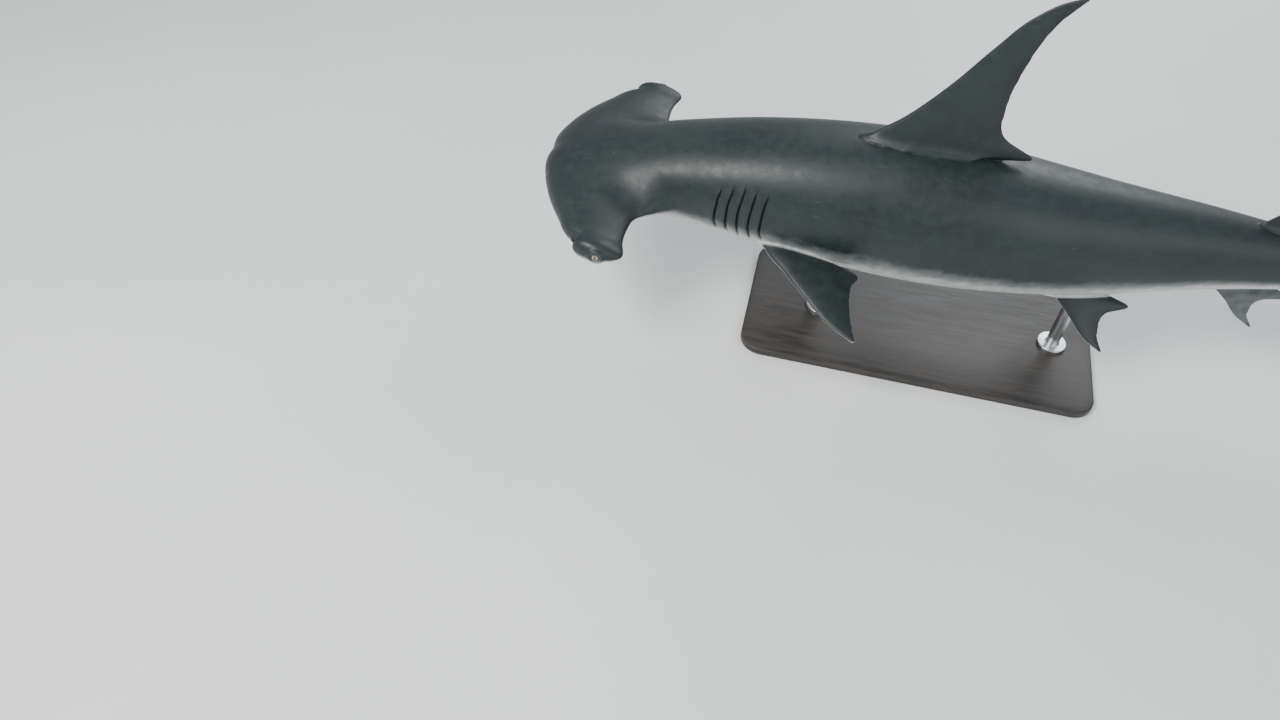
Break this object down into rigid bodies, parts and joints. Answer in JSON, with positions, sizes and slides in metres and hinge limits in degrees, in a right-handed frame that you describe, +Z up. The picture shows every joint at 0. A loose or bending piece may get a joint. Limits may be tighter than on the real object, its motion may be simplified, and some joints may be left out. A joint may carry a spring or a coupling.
{
  "type": "great hammerhead shark",
  "caption": "Life-size great hammerhead shark in a calm swimming pose, held over a flat display base by short rods.",
  "frame": {"origin": "centre of the stand base's underside", "axes": "+X from the head to the tail, +Y to the animal's right side, +Z up"},
  "size_m": [4.1631, 1.088, 1.5142],
  "materials": {
    "skin": "satin, wet",
    "eye": "gloss",
    "base": "satin, stained dark",
    "rod": "brushed"
  },
  "bodies": {
    "root": {"head": "skin", "gill_region": "skin", "torso": "skin", "hind_body": "skin", "tail_stem": "skin", "first_dorsal_fin": "skin", "second_dorsal_fin": "skin", "anal_fin": "skin", "tail_fin_upper_lobe": "skin", "tail_fin_lower_lobe": "skin", "pectoral_fin_left": "skin", "pelvic_fin_left": "skin", "pectoral_fin_right": "skin", "pelvic_fin_right": "skin", "eye_left": "eye", "eye_right": "eye", "stand_base": "base", "stand_rod_front": "rod", "stand_rod_rear": "rod"}
  },
  "joints": []
}
